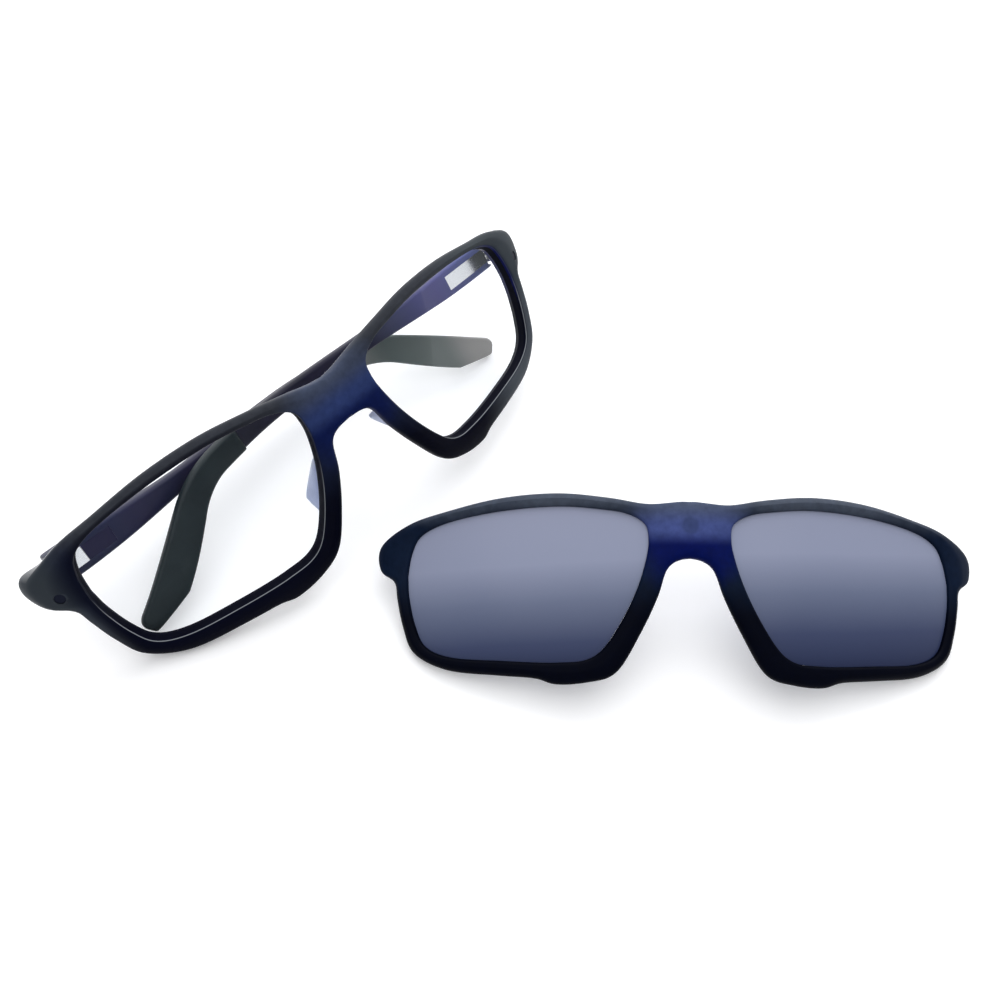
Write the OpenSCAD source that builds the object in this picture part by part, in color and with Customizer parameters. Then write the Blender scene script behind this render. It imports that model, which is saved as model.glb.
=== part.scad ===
// Wraparound square eyeglasses with folded temples and a magnetic sun clip-on front.
// Fronts are drawn facing +Z with the brow toward +Y, then leaned and set on the table.
// Right is the +X side.

/* [Lenses] */
// Width of one lens opening, boxed
lens_w = 55.5; // [52:0.1:59]
// Height of one lens opening, boxed
lens_h = 36.8; // [32:0.1:40]
// Distance between the two lens openings
bridge_w = 18.8; // [17:0.1:22]
// Height of the lens centre line above the front's datum
lens_mid = 1.0; // [-1:0.1:2]
// Thickness of a clear lens
lens_t = 1.7; // [1.2:0.1:2.1]
// Depth of the front lip over the lens
lip_depth = 1.0; // [0.7:0.1:1.2]
// How far a lens edge stands in its groove
lens_seat = 0.5; // [0.3:0.05:0.7]
// Gap between a lens and its groove
lens_gap = 0.08; // [0.05:0.01:0.12]

/* [Front] */
// Radius of the wrapped front, seen from above and from the side
wrap_r = 143; // [134:1:152]
// Depth of the rims from front to back
rim_depth = 3.9; // [3.8:0.1:5]
// Width of the rim above the lens
rim_top = 2.5; // [2.2:0.1:4]
// Width of the rim at the temple side
rim_side = 3.7; // [3:0.1:5]
// Width of the rim under the lens
rim_bottom = 5.0; // [4:0.1:7]
// Width of the rim at the nose side
rim_nose = 4.0; // [3:0.1:5]
// Width of the rim beside the end piece
rim_end = 7.9; // [7.2:0.1:8.6]
// Height of the brow's outer shoulder over the lens
rim_shoulder = 2.6; // [1:0.1:3]
// Height of the ridge along the front face
ridge_h = 0.5; // [0.2:0.05:0.8]
// Height of the small step under each rim
step_h = 1.4; // [0.6:0.1:2]
// Height of the bridge's upper edge
bridge_top = 17.4; // [16:0.1:20]
// Height of the nose arch
arch_top = 6.4; // [3:0.1:7]
// How far the end pieces stand out past the rim
end_flare = 1.0; // [0.8:0.1:1.6]

/* [Hinges] */
// Distance of each hinge pin inside the end of the front
pin_in = 5.0; // [4.4:0.1:5.4]
// Height of the hinges on the front
pin_y = 8.7; // [8.4:0.1:9]
// Distance of each hinge pin behind the front's middle
pin_z = 25.6; // [25:0.1:26.4]
// How far the end piece reaches back past the pin
end_reach = 1.0; // [0.8:0.1:1.2]
// Gap between the end piece and the open temple
butt_gap = 0.3; // [0.2:0.05:0.6]
// Diameter of the hinge screw's shank
screw_d = 1.3; // [1:0.05:1.4]
// Running clearance round the screw
pin_fit = 0.04; // [0.02:0.01:0.1]
// Diameter of the knuckles
knuckle_d = 3.2; // [3:0.1:3.4]
// Height of the middle knuckle
knuckle_h = 2.4; // [1.8:0.1:2.8]
// Thickness of each outer knuckle
ear_t = 1.1; // [0.9:0.1:1.3]
// Clearance between knuckles
ear_gap = 0.06; // [0.04:0.01:0.15]
// Thickness of the hinge leaf's plate
leaf_t = 0.7; // [0.5:0.05:0.8]
// Clearance round the hinge's turning pieces
hinge_room = 0.35; // [0.3:0.05:0.5]
// Tilt of the right hinge pin, which lets the folded temple slope down toward the middle
cant_right = 2.2; // [1.6:0.1:2.8]
// Tilt of the left hinge pin, which lets the outer temple pass lower than the inner one
cant_left = 3.8; // [3.2:0.1:4.4]
// How far the folded right temple stays short of square
short_right = 2.8; // [2.4:0.1:3.2]
// How far the folded left temple stays short of square, behind the right one
short_left = 7.5; // [7.2:0.1:8]

/* [Temples] */
// Length from the hinge pin to where the temple starts to narrow
taper_from = 8; // [6:1:10]
// Length from the hinge pin to where the temple is lowest
narrow_at = 42; // [38:1:50]
// Length from the hinge pin to where the temple is thin
thin_at = 38; // [34:1:42]
// Distance from where the temple bows out most to the bend
bow_before = 27.5; // [24:0.5:31]
// Room between a folded temple's bend and the other hinge pin
fold_room = 37.7; // [36.5:0.1:41]
// Length from the bend to the tip's end
tip_len = 34.6; // [32:0.1:38]
// Angle of the bend
bend_angle = 31.0; // [29:0.1:34]
// Radius of the bend
bend_r = 26; // [18:1:34]
// Height of the temple at the hinge
arm_h = 7.6; // [7.4:0.1:8.4]
// Height of the temple halfway
arm_mid_h = 4.8; // [4.4:0.1:5.6]
// Height of the temple in the bend
neck_h = 5.7; // [5:0.1:6.6]
// Height of the rubber tip near its end
tip_h = 8.3; // [7:0.1:9]
// Length over which the rubber tip grows to its full height
flare_l = 30; // [26:1:34]
// Length of the slope under the tip's end
chamfer_l = 11; // [8:1:14]
// Thickness of the temple at the hinge
arm_t = 5.2; // [4.8:0.1:5.8]
// Thickness of the temple halfway
arm_mid_t = 3.0; // [2.6:0.1:3.4]
// Thickness of the tip's end
tip_t = 2.2; // [1.8:0.1:2.6]
// Distance of the temple's inner face inside the pin
arm_inside = 1.2; // [1.1:0.05:1.3]
// How far the temple bows outward
bow = 4.6; // [4:0.1:5.4]
// How far the tip stays bowed out at its end
bow_end = -12.0; // [-13:0.1:-11]
// Distance from the rubber tip's front edge to the bend
sleeve_l = 14.5; // [12:0.5:17]
// How far the rubber stands proud of the temple
sleeve_t = 0.3; // [0.1:0.05:0.5]
// Length of the tongue inside the rubber tip
tongue_l = 6; // [4:0.5:8]

/* [Spring hinge] */
// Length of the spring case
case_l = 13.5; // [12:0.5:16]
// Height of the spring case
case_h = 3.9; // [3.4:0.1:4.4]
// Thickness of the spring case
case_t = 2.6; // [2.4:0.1:2.9]
// Travel of the spring
spring_travel = 1.5; // [1:0.1:1.8]
// Diameter of the slider's shank
shank_d = 1.0; // [0.8:0.05:1.1]
// Bore of the spring case
case_bore = 1.9; // [1.8:0.05:2]
// Running clearance of the slider
slide_fit = 0.05; // [0.03:0.01:0.1]
// Thickness of the case's end walls
case_wall = 1.2; // [0.8:0.1:1.4]
// Length of the spring when pressed
spring_l = 6.5; // [5:0.1:7]

/* [Nose pads] */
// Height of a pad's upper end
pad_high = 1.5; // [0:0.5:3]
// Height of a pad's lower end
pad_low = -10; // [-12:0.5:-8]
// How far outward a pad's upper end stands from the lens box's inner side
pad_out_high = 0.3; // [-1:0.1:1]
// How far outward a pad's lower end stands from the lens box's inner side
pad_out_low = 6.0; // [5:0.1:6.5]
// How far a pad reaches back behind the rim
pad_reach = 5.5; // [4:0.5:7]
// Thickness of a pad
pad_t = 2.2; // [1.8:0.1:2.8]

/* [Clip-on] */
// Width of one sun lens opening
clip_lens_w = 53.4; // [51:0.1:57]
// Height of one sun lens opening
clip_lens_h = 34.5; // [31:0.1:39]
// Distance between the sun lens openings
clip_bridge_w = 17.5; // [16:0.1:21]
// Height of the sun lens centre line above the front's datum
clip_lens_mid = -0.6; // [-1:0.1:1]
// Depth of the clip-on front
clip_depth = 3.0; // [2.8:0.1:3.6]
// Gap between the clip-on and the glasses when it is worn
clip_gap = 0.3; // [0.1:0.1:0.6]
// Thickness of a sun lens
sun_t = 1.1; // [0.9:0.1:1.2]
// Width of the clip-on's rim above the lens
clip_rim_top = 3.2; // [2.4:0.1:4]
// Width of the clip-on's rim at the temple side
clip_rim_side = 2.9; // [2.8:0.1:4.4]
// Width of the clip-on's rim under the lens
clip_rim_bottom = 3.3; // [2.6:0.1:5]
// Width of the clip-on's rim at the nose side
clip_rim_nose = 4.2; // [3:0.1:5]
// Width of the clip-on's rim at its end tab
clip_rim_end = 7.1; // [6.4:0.1:8]
// Height of the clip-on brow's outer shoulder over the lens
clip_shoulder = 2.9; // [1:0.1:4]
// Height of the clip-on bridge's upper edge
clip_bridge_top = 17.7; // [16:0.1:19]
// Height of the clip-on's nose arch
clip_arch_top = 4.8; // [3:0.1:7]

/* [Magnets] */
// Diameter of a magnet
magnet_d = 2.4; // [2:0.1:2.6]
// Thickness of a magnet
magnet_t = 1.0; // [0.8:0.1:1.2]
// Gap round a magnet in its pocket
magnet_gap = 0.05; // [0.02:0.01:0.08]
// Distance of the frame's outer magnets inside the end of the front
magnet_in = 3.4; // [3:0.1:5.4]
// Distance of the clip-on's outer magnets inside its end
clip_magnet_in = 2.0; // [1.8:0.1:3]
// Height of the outer magnets
magnet_y = 6.4; // [5.6:0.1:7.4]
// Height of the bridge magnets
magnet_mid_y = 11.8; // [10.5:0.1:13]

/* [Resting pose] */
// How far the glasses' front leans back from upright
lean = 30.5; // [28:0.1:36]
// How far the glasses lean over to their right side
side_tilt = -3.0; // [-5:0.1:5]
// Height of the glasses' datum above the table
rest_h = 28.08; // [25:0.01:32]
// Clip-on's distance to the right of the glasses
clip_dx = 26.5; // [20:0.1:80]
// Clip-on's distance in front of the glasses
clip_dy = 73.4; // [70:0.1:120]
// How far the clip-on is turned on the table
clip_turn = 47.1; // [40:0.1:60]
// How far the resting clip-on's brow is raised
clip_tilt = 23.3; // [8:0.1:26]
// Height of the clip-on's datum above the table
clip_rest_h = 21.0; // [18:0.01:26]
// Sideways place of the glasses on the row's base
base_x = -5.4; // [-40:0.01:40]
// Depth place of the glasses on the row's base
base_y = 42.43; // [-60:0.01:60]

/* [Hidden] */

// Curves
function mix(a, b, t) = a + (b - a) * t;
function unit2(v) = v / max(norm(v), 0.001);
function limited(t) = min(1, max(0, t));
function smooth(t) = let (c = limited(t)) c * c * (3 - 2 * c);
function curve(a, b, c, d, t) =
    0.5 * (2 * b + (c - a) * t + (2 * a - 5 * b + 4 * c - d) * t * t + (3 * b - a - 3 * c + d) * t * t * t);

// A front as one list: lens box, rims, bridge, wrap radius, depths and end pieces
clip_r = wrap_r + clip_depth + clip_gap;
end_along = 0.985;
end_out = 1.08;
front_end = bridge_w / 2 + end_along * lens_w + end_out * rim_end;
clip_end = clip_bridge_w / 2 + end_along * clip_lens_w + end_out * clip_rim_end;
pin_x = front_end - pin_in;
magnet_x = front_end - magnet_in;
clip_magnet_x = clip_end - clip_magnet_in;
end_back = pin_z + end_reach;
seat_x = pin_x + knuckle_d / 2 + leaf_t + hinge_room;
seat_back = pin_z - knuckle_d / 2 - hinge_room;
function glasses_front() = [
    lens_w, lens_h, lens_mid, bridge_w, rim_top, rim_side, rim_bottom, rim_nose, bridge_top, arch_top,
    wrap_r, rim_depth, lens_t, rim_end, rim_shoulder, true
];
function clip_front() = [
    clip_lens_w, clip_lens_h, clip_lens_mid, clip_bridge_w, clip_rim_top, clip_rim_side, clip_rim_bottom,
    clip_rim_nose, clip_bridge_top, clip_arch_top, clip_r, clip_depth, sun_t, clip_rim_end, clip_shoulder,
    false
];

// Spokes round one lens: place in the lens box, and the way to the rim's outer edge
function spokes(f) =
    let (top = f[4], side = f[5], bottom = f[6], nose = f[7], end = f[13], shoulder = f[14]) [
        [0.02, 0.88, 0, 0],
        [0.09, 0.945, -5, top * 0.7],
        [0.19, 0.975, -2, top * 0.85],
        [0.37, 1.0, 0, top],
        [0.61, 0.98, 0, top],
        [0.83, 0.92, top * 0.2, top * 0.85],
        [0.945, 0.84, end * 0.45, shoulder],
        [end_along, 0.73, end * end_out, end * 0.25],
        [1.0, 0.59, end * 0.95, end * 0.12],
        [1.0, 0.53, side * 1.15, side * 0.02],
        [0.993, 0.42, side, -side * 0.05],
        [0.965, 0.245, side, -side * 0.1],
        [0.915, 0.10, side * 0.95, -side * 0.5],
        [0.80, 0.03, bottom * 0.35, -bottom * 0.85],
        [0.60, 0.01, bottom * 0.15, -bottom * 0.98],
        [0.46, 0.0, bottom * 0.05, -bottom * 1.05],
        [0.37, 0.0, bottom * 0.15, -bottom - step_h],
        [0.265, 0.015, -0.5, -(bottom + nose) * 0.635],
        [0.19, 0.09, -nose * 0.65, -nose * 1.25],
        [0.11, 0.28, -nose * 0.85, -nose * 0.85],
        [0.05, 0.48, -nose, -nose * 0.6],
        [0.015, 0.66, -nose * 1.15, -nose * 0.5],
        [0.005, 0.78, 0, 0]
    ];
function inner_pts(f) = [for (s = spokes(f)) [f[3] / 2 + s[0] * f[0], f[2] + (s[1] - 0.5) * f[1]]];
function outer_pts(f) =
    let (s = spokes(f), p = inner_pts(f), n = len(s)) [
        for (k = [0 : n - 1])
            k == 0 ? [0, f[8]] : k == n - 1 ? [0, f[9]] : p[k] + [s[k][2], s[k][3]]
    ];

// Stations between the spokes: inner edge, outer edge, on the middle plane or not, share of end piece
end_low = 3.0;
end_high = 12.2;
end_fade = 2.2;
rim_steps = 3;
function end_share(y) = smooth(1 - max(end_low - y, y - end_high) / end_fade);
function stations(f, steps) =
    let (p = inner_pts(f), q = outer_pts(f), n = len(p)) [
        for (k = [0 : n - 1])
            for (i = [0 : (k == n - 1 ? 2 : 1) * steps - 1])
                let (
                    t = i / ((k == n - 1 ? 2 : 1) * steps),
                    a = curve(p[(k + n - 1) % n], p[k], p[(k + 1) % n], p[(k + 2) % n], t),
                    before = k == 0 ? [-q[1][0], q[1][1]] : q[k - 1],
                    after = k >= n - 2 ? [-q[n - 2][0], q[n - 2][1]] : q[k + 2],
                    b = k == n - 1 ? [0, mix(f[9], f[8], t)] : curve(before, q[k], q[k + 1], after, t)
                )
                    [a, b, k == n - 1 || (k == 0 && i == 0), f[15] && b[0] > f[0] ? end_share(b[1]) : 0]
    ];

// A point on the wrapped front, at a depth in front of it or behind it
function wrapped(p, d, r) =
    let (z = sqrt(r * r - p[0] * p[0] - p[1] * p[1]), k = (r + d) / r)
        [p[0] * k, p[1] * k, z * k - r];

// Section of a rim at one station, from the front lip round to the lens groove
groove_depth = lens_seat + lens_gap;
lip_bevel = 0.45;
edge_round = 0.8;
end_drop = 0.4;
seat_wall = 0.4;
function section(st, f) =
    let (
        a = st[0],
        b = st[1],
        edge = st[2] ? 0 : 1,
        share = st[3],
        r = f[10],
        depth = f[11],
        w = norm(b - a),
        way = unit2(b - a),
        crest = ridge_h * (b[1] > a[1] ? 1 : 0.4),
        back = lip_depth + f[12] + 2 * lens_gap,
        end_x = b[0] + end_flare,
        wall_x = min(seat_x, end_x - edge_round - seat_wall),
        out = [
            wrapped(a, -lip_bevel, r),
            wrapped(a + way * lip_bevel, 0, r),
            wrapped(a + way * w * 0.45, crest, r),
            wrapped(a + way * (w - edge_round), crest * mix(1, 0.1, edge), r),
            wrapped(b, mix(crest, -edge_round, edge), r),
            wrapped(b, -depth + edge_round * edge, r),
            wrapped(b - way * edge_round, -depth, r),
            wrapped(a + way * w * 0.62, -depth, r),
            wrapped(a + way * w * 0.42, -depth, r),
            wrapped(a + way * 0.5, -depth, r),
            wrapped(a, -depth + 0.3, r),
            wrapped(a, -back, r),
            wrapped(a + way * groove_depth, -back, r),
            wrapped(a + way * groove_depth, -lip_depth, r),
            wrapped(a, -lip_depth, r)
        ]
    )
        share <= 0 ? out : [
            for (j = [0 : len(out) - 1])
                j == 4 ? mix(out[4], [end_x - edge_round, b[1], out[4][2] - end_drop], share)
                : j == 5 ? mix(out[5], [end_x, b[1], edge_round - end_back], share)
                : j == 6 ? mix(out[6], [end_x - edge_round, b[1], -end_back], share)
                : j == 7 ? mix(out[7], [wall_x, b[1], -end_back], share)
                : j == 8 ? mix(out[8], [wall_x, b[1], -seat_back], share)
                : out[j]
        ];

// One closed solid for a whole front: the right half, its mirror image, and shared points on the middle plane
module front_solid(f, steps) {
    st = stations(f, steps);
    n = len(st);
    rows = [for (s = st) section(s, f)];
    m = len(rows[0]);
    right = [for (row = rows) for (p = row) p];
    left = [for (p = right) [-p[0], p[1], p[2]]];
    shared = [for (s = st) for (j = [0 : m - 1]) s[2] && (j == 4 || j == 5) ? 0 : 1];
    function at(k, j, half) = let (i = (k % n) * m + j % m) half == 0 || shared[i] == 0 ? i : i + n * m;
    // no face between two points that both lie on the middle plane
    quads = [
        for (k = [0 : n - 1])
            for (j = [0 : m - 1])
                if (!(j == 4 && st[k][2] && st[(k + 1) % n][2]))
                    [k, j]
    ];
    faces = concat(
        [for (q = quads) [at(q[0], q[1], 0), at(q[0] + 1, q[1] + 1, 0), at(q[0] + 1, q[1], 0)]],
        [for (q = quads) [at(q[0], q[1], 0), at(q[0], q[1] + 1, 0), at(q[0] + 1, q[1] + 1, 0)]],
        [for (q = quads) [at(q[0], q[1], 1), at(q[0] + 1, q[1], 1), at(q[0] + 1, q[1] + 1, 1)]],
        [for (q = quads) [at(q[0], q[1], 1), at(q[0] + 1, q[1] + 1, 1), at(q[0], q[1] + 1, 1)]]
    );
    polyhedron(concat(right, left), faces, convexity = 10);
}

// A lens: a curved sheet cut to the opening's outline, seated in the groove
lens_over = 3;
module lens_solid(f) {
    st = stations(f, rim_steps);
    n = len(st);
    r = f[10];
    rim = [for (s = st) wrapped(s[0] + unit2(s[1] - s[0]) * lens_seat, lens_over, r)];
    middle = wrapped([f[3] / 2 + f[0] / 2, f[2]], lens_over, r);
    front = lip_depth + lens_gap;
    intersection() {
        translate([0, 0, -r])
            difference() {
                sphere(r - front, $fn = 96);
                sphere(r - front - f[12], $fn = 96);
            }
        polyhedron(
            concat(rim, [middle, [0, 0, -r]]),
            concat(
                [for (k = [0 : n - 1]) [k, (k + 1) % n, n]],
                [for (k = [0 : n - 1]) [k, n + 1, (k + 1) % n]]
            )
        );
    }
}

// Places on a front
module seated(p, depth, r) {
    z = sqrt(r * r - p[0] * p[0] - p[1] * p[1]);
    translate([0, 0, -r])
        rotate([0, atan2(p[0], z), 0])
            rotate([-asin(p[1] / r), 0, 0])
                translate([0, 0, r - depth])
                    children();
}
module sided(side) {
    if (side > 0) {
        children();
    } else {
        mirror([1, 0, 0]) children();
    }
}

// Magnets: in the glasses they lie in the front face, in the clip-on in the back
pocket_over = 2;
function magnet_places() = [[magnet_x, magnet_y], [-magnet_x, magnet_y], [0, magnet_mid_y]];
function clip_magnet_places() = [[clip_magnet_x, magnet_y], [-clip_magnet_x, magnet_y], [0, magnet_mid_y]];
module magnet_at(i) {
    seated(magnet_places()[i], magnet_t, wrap_r)
        cylinder(h = magnet_t, d = magnet_d, $fn = 48);
}
module magnet_pocket(i) {
    seated(magnet_places()[i], magnet_t + magnet_gap, wrap_r)
        cylinder(h = magnet_t + pocket_over, d = magnet_d + 2 * magnet_gap, $fn = 48);
}
module clip_magnet_at(i) {
    seated(clip_magnet_places()[i], clip_depth, clip_r)
        cylinder(h = magnet_t, d = magnet_d, $fn = 48);
}
module clip_magnet_pocket(i) {
    seated(clip_magnet_places()[i], clip_depth + pocket_over, clip_r)
        cylinder(h = magnet_t + magnet_gap + pocket_over, d = magnet_d + 2 * magnet_gap, $fn = 48);
}

// Nose pad behind the nose side of the right rim
pad_gap = 0.05;
module pad_solid() {
    ball = pad_t / 2;
    behind = rim_depth + ball + pad_gap;
    high = [bridge_w / 2 + pad_out_high, pad_high];
    low = [bridge_w / 2 + pad_out_low, pad_low];
    hull() {
        translate(wrapped(high, -behind, wrap_r)) sphere(ball, $fn = 24);
        translate(wrapped(low, -behind, wrap_r)) sphere(ball, $fn = 24);
        translate(wrapped(high - [0.4, 2.5], -behind - pad_reach, wrap_r)) sphere(ball * 0.7, $fn = 24);
        translate(wrapped(low + [0.4, 1.5], -behind - pad_reach, wrap_r)) sphere(ball * 0.7, $fn = 24);
    }
}

// Hinge: local x points outward, y along the pin and z forward, with the pin at the origin
hinge_half = knuckle_h / 2 + ear_gap + ear_t;

function short_of(side) = side > 0 ? short_right : short_left;
function cant_of(side) = side > 0 ? cant_right : cant_left;
seat_fit = 0.2;
plate_x = seat_x - pin_x - seat_fit;
module at_pin(side) {
    on_table()
        sided(side)
            translate([pin_x, pin_y, -pin_z])
                rotate([0, 0, cant_of(side)])
                    children();
}
module upright(h, d) {
    rotate([90, 0, 0]) cylinder(h = h, d = d, center = true, $fn = 48);
}
module leaf_solid() {
    rear = end_reach - 0.1;
    front = knuckle_d / 2;
    difference() {
        union() {
            translate([plate_x - leaf_t, -hinge_half, -rear]) cube([leaf_t, 2 * hinge_half, rear + front]);
            for (y = [-hinge_half, hinge_half - ear_t]) {
                translate([0, y, -rear]) cube([plate_x - leaf_t / 2, ear_t, rear + knuckle_d / 4]);
                translate([0, y + ear_t / 2, 0]) upright(ear_t, knuckle_d);
            }
        }
        upright(3 * hinge_half, screw_d + 2 * pin_fit);
    }
}
screw_head_d = 2.3;
screw_head_h = 0.5;
module screw_solid() {
    upright(2 * hinge_half, screw_d);
    translate([0, hinge_half + screw_head_h / 2, 0]) upright(screw_head_h, screw_head_d);
}

// Temple: local x runs along the folded temple, y is up and z points outward, with the pin at the origin
module on_temple(side) {
    at_pin(side)
        rotate([0, 180 - short_of(side), 0])
            children();
}
case_front = knuckle_d / 2 + hinge_room + 0.3;
nut_l = 1.0;
nut_at = case_front + case_wall + spring_l + spring_travel + 0.2;
module along(x, h, d) {
    translate([x, 0, 0]) rotate([0, 90, 0]) cylinder(h = h, d = d, $fn = 32);
}
module slider_solid() {
    difference() {
        union() {
            upright(knuckle_h, knuckle_d - 0.2);
            along(knuckle_d / 4, nut_at + nut_l - knuckle_d / 4, shank_d);
        }
        upright(2 * knuckle_h, screw_d + 2 * pin_fit);
    }
}
module nut_solid() {
    difference() {
        along(nut_at, nut_l, case_bore - 2 * slide_fit);
        along(nut_at - nut_l, 3 * nut_l, shank_d);
    }
}
module case_solid() {
    difference() {
        translate([case_front, -case_h / 2, -arm_inside]) cube([case_l, case_h, case_t]);
        along(case_front + case_wall, case_l - 2 * case_wall, case_bore);
        along(case_front - case_wall, 3 * case_wall, shank_d + 2 * slide_fit);
    }
}
spring_wire = 0.25;
module spring_solid() {
    from = case_front + case_wall + 0.05;
    difference() {
        along(from, spring_l, case_bore - slide_fit);
        along(from - 1, spring_l + 2, case_bore - slide_fit - 2 * spring_wire);
    }
}

// The temple's middle line, with a round bend
bend_at = 2 * pin_x - fold_room;
sleeve_at = bend_at - sleeve_l;
bow_full = bend_at - bow_before;
bend_reach = bend_r * tan(bend_angle / 2);
bend_start = bend_at - bend_reach;
bend_arc = bend_r * bend_angle * PI / 180;
arm_end = bend_start + bend_arc + tip_len - bend_reach;
function bend_turn(s) = limited((s - bend_start) / bend_arc) * bend_angle;
function past_bend(s) = max(0, s - bend_start - bend_arc);
function arm_along(s) = min(s, bend_start) + bend_r * sin(bend_turn(s)) + past_bend(s) * cos(bend_angle);
function arm_drop(s) = bend_r * (1 - cos(bend_turn(s))) + past_bend(s) * sin(bend_angle);

// Half heights, thickness and bow along the temple
butt_at = end_reach + butt_gap;
bow_from = case_front + case_l;
tip_share = 0.42;
function arm_half(s) =
    s < narrow_at ? mix(arm_h, arm_mid_h, smooth((s - taper_from) / (narrow_at - taper_from))) / 2
    : mix(arm_mid_h, neck_h, smooth((s - narrow_at) / (bend_start - narrow_at))) / 2;
function tip_flare(s, share) = mix(neck_h / 2, tip_h * share, smooth((s - bend_start) / flare_l));
function tip_up(s) = tip_flare(s, tip_share);
function tip_down(s) =
    mix(tip_flare(s, 1 - tip_share), tip_h * 0.1, limited((s - arm_end + chamfer_l) / chamfer_l));
function arm_thick(s) =
    s < thin_at ? mix(arm_t, arm_mid_t, smooth((s - butt_at) / (thin_at - butt_at)))
    : mix(arm_mid_t, tip_t, smooth((s - thin_at) / (arm_end - thin_at)));
function arm_bow(s) =
    s < bow_full ? bow * smooth((s - bow_from) / (bow_full - bow_from))
    : mix(bow, bow_end, smooth((s - bow_full) / (arm_end - bow_full)));
function arm_inner(s) = arm_bow(s) - arm_inside;

// A rounded ring across the temple: half heights, inner face, thickness and corner radius
function ring(s, up, down, inner, thick, c) =
    let (turn = bend_turn(s), up_way = [sin(turn), cos(turn)], at = [arm_along(s), -arm_drop(s)]) [
        for (k = [0 : 3])
            for (i = [0 : 2])
                let (
                    a = 90 - 90 * k - 45 * i,
                    h = (k == 0 || k == 3 ? up - c : c - down) + c * sin(a),
                    v = (k < 2 ? inner + thick - c : inner + c) + c * cos(a),
                    p = at + up_way * h
                )
                    [p[0], p[1], v]
    ];
module tube(rings) {
    n = len(rings);
    m = len(rings[0]);
    function at(k, j) = k * m + j % m;
    polyhedron(
        [for (r = rings) for (p = r) p],
        concat(
            [[for (j = [0 : m - 1]) j]],
            [for (k = [1 : n - 1]) for (j = [0 : m - 1]) [at(k - 1, j), at(k, j), at(k, j + 1)]],
            [for (k = [1 : n - 1]) for (j = [0 : m - 1]) [at(k - 1, j), at(k, j + 1), at(k - 1, j + 1)]],
            [[for (j = [m - 1 : -1 : 0]) (n - 1) * m + j]]
        ),
        convexity = 4
    );
}
tongue_fit = 0.05;
tongue_t = 1.2;
tongue_root = 1;
tongue_round = 0.3;
module tongue(extra) {
    half = neck_h / 4 + extra;
    thick = tongue_t + 2 * extra;
    tube([
        for (k = [0 : 4])
            let (s = mix(sleeve_at - tongue_root, sleeve_at + tongue_l + extra, k / 4))
                ring(s, half, half, arm_inner(s) + (arm_thick(s) - thick) / 2, thick, tongue_round)
    ]);
}
arm_corner = 0.9;
arm_rings = 22;
module arm_solid() {
    pocket = 0.02;
    room = hinge_half + hinge_room + screw_head_h;
    difference() {
        union() {
            tube([
                for (k = [0 : arm_rings])
                    let (s = mix(butt_at, sleeve_at, k / arm_rings))
                        ring(s, arm_half(s), arm_half(s), arm_inner(s), arm_thick(s), arm_corner)
            ]);
            tongue(0);
        }
        // pocket of the spring case, and room for the knuckles in front of it
        translate([0, -case_h / 2 - pocket, -arm_inside - 1])
            cube([case_front + case_l + pocket, case_h + 2 * pocket, case_t + 1 + pocket]);
        translate([0, -room, -arm_inside - 1])
            cube([case_front, 2 * room, knuckle_d / 2 + hinge_room + arm_inside + 1]);
    }
}
tip_corner = 0.8;
tip_rings = 24;
module tip_solid() {
    difference() {
        tube([
            for (k = [0 : tip_rings])
                let (
                    s = mix(sleeve_at + tongue_fit, arm_end, k / tip_rings),
                    proud = sleeve_t * (1 - smooth((s - arm_end + flare_l) / flare_l)),
                    last = k == tip_rings ? 0.6 : 0,
                    c = k == tip_rings ? 0.3 : tip_corner
                )
                    ring(
                        s, tip_up(s) + proud - 2 * last, tip_down(s) + proud,
                        arm_inner(s) - proud + last, arm_thick(s) + 2 * proud - 2 * last, c
                    )
        ]);
        tongue(tongue_fit);
    }
}

// Resting places
module on_table() {
    translate([base_x, base_y, rest_h])
        rotate([0, side_tilt, 0])
            rotate([90 - lean, 0, 0])
                children();
}
module beside() {
    translate([base_x + clip_dx, base_y - clip_dy, clip_rest_h])
        rotate([0, 0, -clip_turn])
            rotate([clip_tilt, 0, 0])
                children();
}

// Sub-parts
module front_frame() {
    color("midnightblue")
        on_table()
            difference() {
                front_solid(glasses_front(), rim_steps);
                for (i = [0 : 2]) magnet_pocket(i);
            }
}
module lens(side) { color("lightcyan", 0.3) on_table() sided(side) lens_solid(glasses_front()); }
module nose_pad(side) { color("lightsteelblue") on_table() sided(side) pad_solid(); }
module hinge_leaf(side) { color("silver") at_pin(side) leaf_solid(); }
module hinge_screw(side) { color("gainsboro") at_pin(side) screw_solid(); }
module magnet(i) { color("dimgray") on_table() magnet_at(i); }
module hinge_slider(side) { color("silver") on_temple(side) slider_solid(); }
module slider_nut(side) { color("gainsboro") on_temple(side) nut_solid(); }
module temple_arm(side) { color("darkslateblue") on_temple(side) arm_solid(); }
module temple_tip(side) { color("darkslategray") on_temple(side) tip_solid(); }
module spring_case(side) { color("silver") on_temple(side) case_solid(); }
module hinge_spring(side) { color("gray") on_temple(side) spring_solid(); }
module clip_frame() {
    color("navy")
        beside()
            difference() {
                front_solid(clip_front(), rim_steps);
                for (i = [0 : 2]) clip_magnet_pocket(i);
            }
}
module sun_lens(side) { color("slategray") beside() sided(side) lens_solid(clip_front()); }
module clip_magnet(i) { color("dimgray") beside() clip_magnet_at(i); }

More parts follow.
